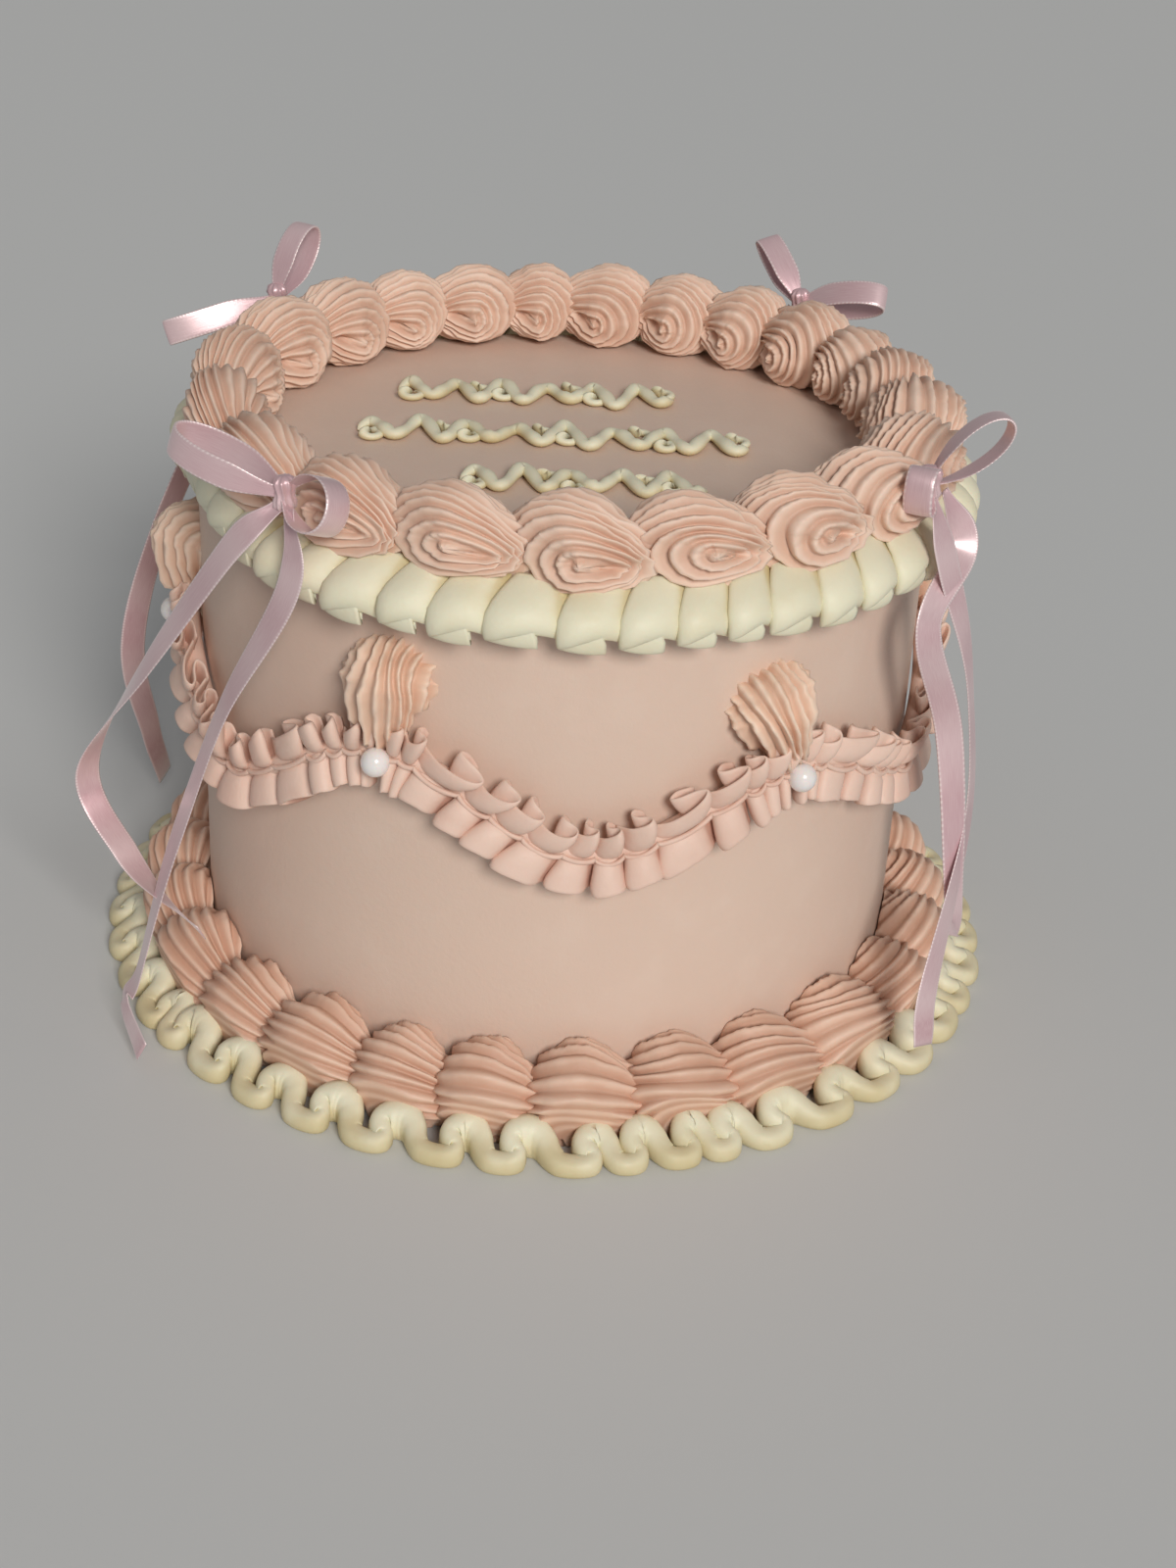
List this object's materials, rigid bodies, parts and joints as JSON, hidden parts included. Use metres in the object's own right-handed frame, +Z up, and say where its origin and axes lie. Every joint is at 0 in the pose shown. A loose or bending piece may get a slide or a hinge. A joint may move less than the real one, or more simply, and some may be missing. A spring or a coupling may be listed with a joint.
{
  "type": "lambeth cake",
  "caption": "Round uncut buttercream cake with vintage piping: shell borders and ruffles at the top edge and the foot, swags on the side, pearls and satin ribbon bows.",
  "frame": {"origin": "centre of the cake's flat underside, on the surface it stands on", "axes": "+Z up the cake's axis, -Y towards the viewer of the pictured front, +X to the viewer's right"},
  "size_m": [0.2098, 0.2097, 0.1508],
  "materials": {
    "frosting": "smooth blush buttercream, satin",
    "shell_icing": "peach buttercream, piped ridges, soft satin",
    "swag_icing": "rose buttercream, thin piped ruffles, soft satin",
    "cream_icing": "pale cream buttercream, piped, soft satin",
    "pearl": "white sugar pearl, glossy with a soft lustre",
    "ribbon": "mauve pink satin ribbon with woven edges"
  },
  "bodies": {
    "root": {"cake_body": "frosting", "top_shell_border": "shell_icing", "foot_shell_border": "shell_icing", "top_ruffle": "cream_icing", "foot_ruffle": "cream_icing", "side_shell_1": "shell_icing", "pearl_1": "pearl", "swag_hanging_ruffle_1": "swag_icing", "swag_standing_ruffle_1": "swag_icing", "side_shell_2": "shell_icing", "pearl_2": "pearl", "swag_hanging_ruffle_2": "swag_icing", "swag_standing_ruffle_2": "swag_icing", "side_shell_3": "shell_icing", "pearl_3": "pearl", "swag_hanging_ruffle_3": "swag_icing", "swag_standing_ruffle_3": "swag_icing", "side_shell_4": "shell_icing", "pearl_4": "pearl", "swag_hanging_ruffle_4": "swag_icing", "swag_standing_ruffle_4": "swag_icing", "side_shell_5": "shell_icing", "pearl_5": "pearl", "swag_hanging_ruffle_5": "swag_icing", "swag_standing_ruffle_5": "swag_icing", "side_shell_6": "shell_icing", "pearl_6": "pearl", "swag_hanging_ruffle_6": "swag_icing", "swag_standing_ruffle_6": "swag_icing", "bow_front_left": "ribbon", "bow_front_right": "ribbon", "bow_back_right": "ribbon", "bow_back_left": "ribbon", "scroll_back": "cream_icing", "scroll_middle": "cream_icing", "scroll_front": "cream_icing"}
  },
  "joints": []
}
